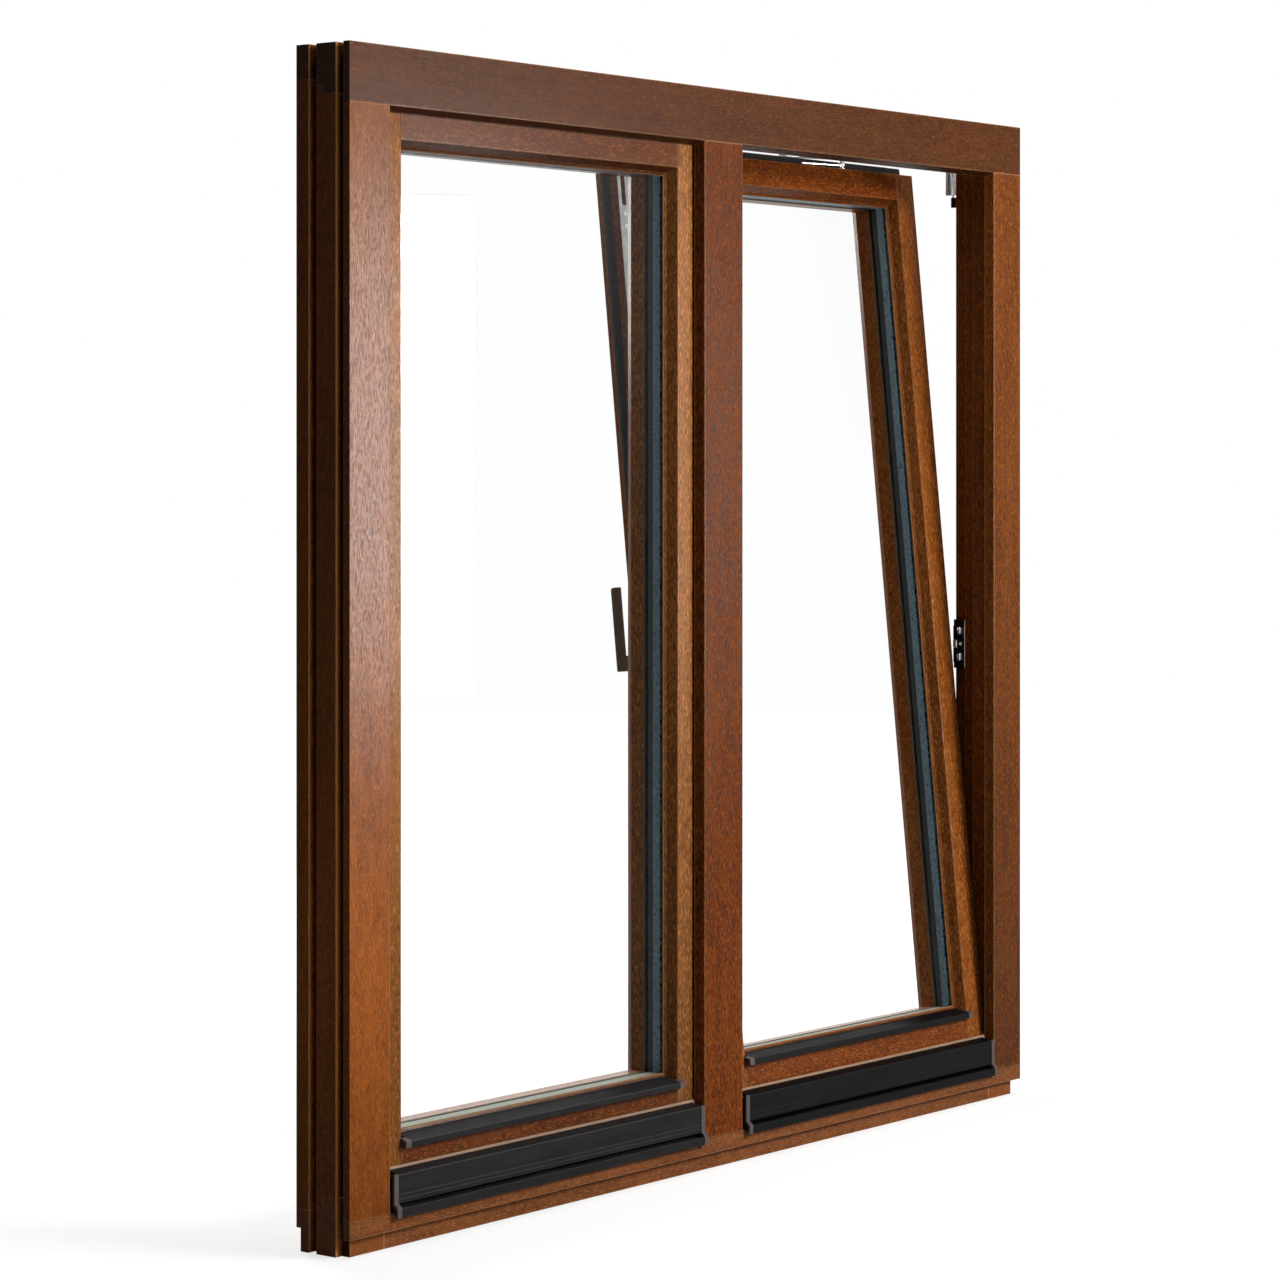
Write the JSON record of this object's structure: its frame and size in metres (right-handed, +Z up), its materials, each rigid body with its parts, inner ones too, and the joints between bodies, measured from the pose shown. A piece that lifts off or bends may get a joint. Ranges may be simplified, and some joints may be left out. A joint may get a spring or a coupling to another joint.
{
  "type": "timber tilt-and-turn window",
  "caption": "Brown timber window with a fixed mullion, one closed sash and one sash tilted inwards, double glazing, and dark metal rain rails on the sill.",
  "frame": {"origin": "middle of the sill's underside, at half the frame's depth", "axes": "+X to the right seen from outside, +Y inwards, +Z up"},
  "size_m": [1.465, 0.2425, 1.435],
  "materials": {
    "timber": "semi-gloss brown stain",
    "rail_metal": "matt anthracite",
    "cap_plastic": "matt grey-brown",
    "rail_seal": "tan",
    "glass": "clear",
    "spacer": "black",
    "glazing_tape": "black",
    "fitting_steel": "satin zinc",
    "dark_fitting": "black",
    "handle_bronze": "dark bronze"
  },
  "bodies": {
    "root": {"drip_caps": "cap_plastic", "edge_faceplate": "fitting_steel", "frame_head": "timber", "frame_left_jamb": "timber", "frame_mullion": "timber", "frame_right_jamb": "timber", "frame_sill": "timber", "handle_lever": "handle_bronze", "handle_rosette": "handle_bronze", "hinge_stop": "dark_fitting", "left_bottom_bead": "timber", "left_drip": "rail_metal", "left_glazing_tape": "glazing_tape", "left_inner_pane": "glass", "left_left_bead": "timber", "left_outer_pane": "glass", "left_rain_rail": "rail_metal", "left_right_bead": "timber", "left_sash_bottom_rail": "timber", "left_sash_left_stile": "timber", "left_sash_right_stile": "timber", "left_sash_top_rail": "timber", "left_spacer": "spacer", "left_top_bead": "timber", "lower_hinge": "fitting_steel", "lower_hinge_arm": "fitting_steel", "rain_rail_caps": "cap_plastic", "rain_rail_seals": "rail_seal", "right_bottom_bead": "timber", "right_drip": "rail_metal", "right_glazing_tape": "glazing_tape", "right_inner_pane": "glass", "right_left_bead": "timber", "right_outer_pane": "glass", "right_rain_rail": "rail_metal", "right_right_bead": "timber", "right_sash_bottom_rail": "timber", "right_sash_left_stile": "timber", "right_sash_right_stile": "timber", "right_sash_top_rail": "timber", "right_spacer": "spacer", "right_top_bead": "timber", "sash_gaskets": "glazing_tape", "stay_arm": "fitting_steel", "striker_plates": "dark_fitting", "top_faceplate": "dark_fitting", "upper_hinge": "fitting_steel"}
  },
  "joints": []
}
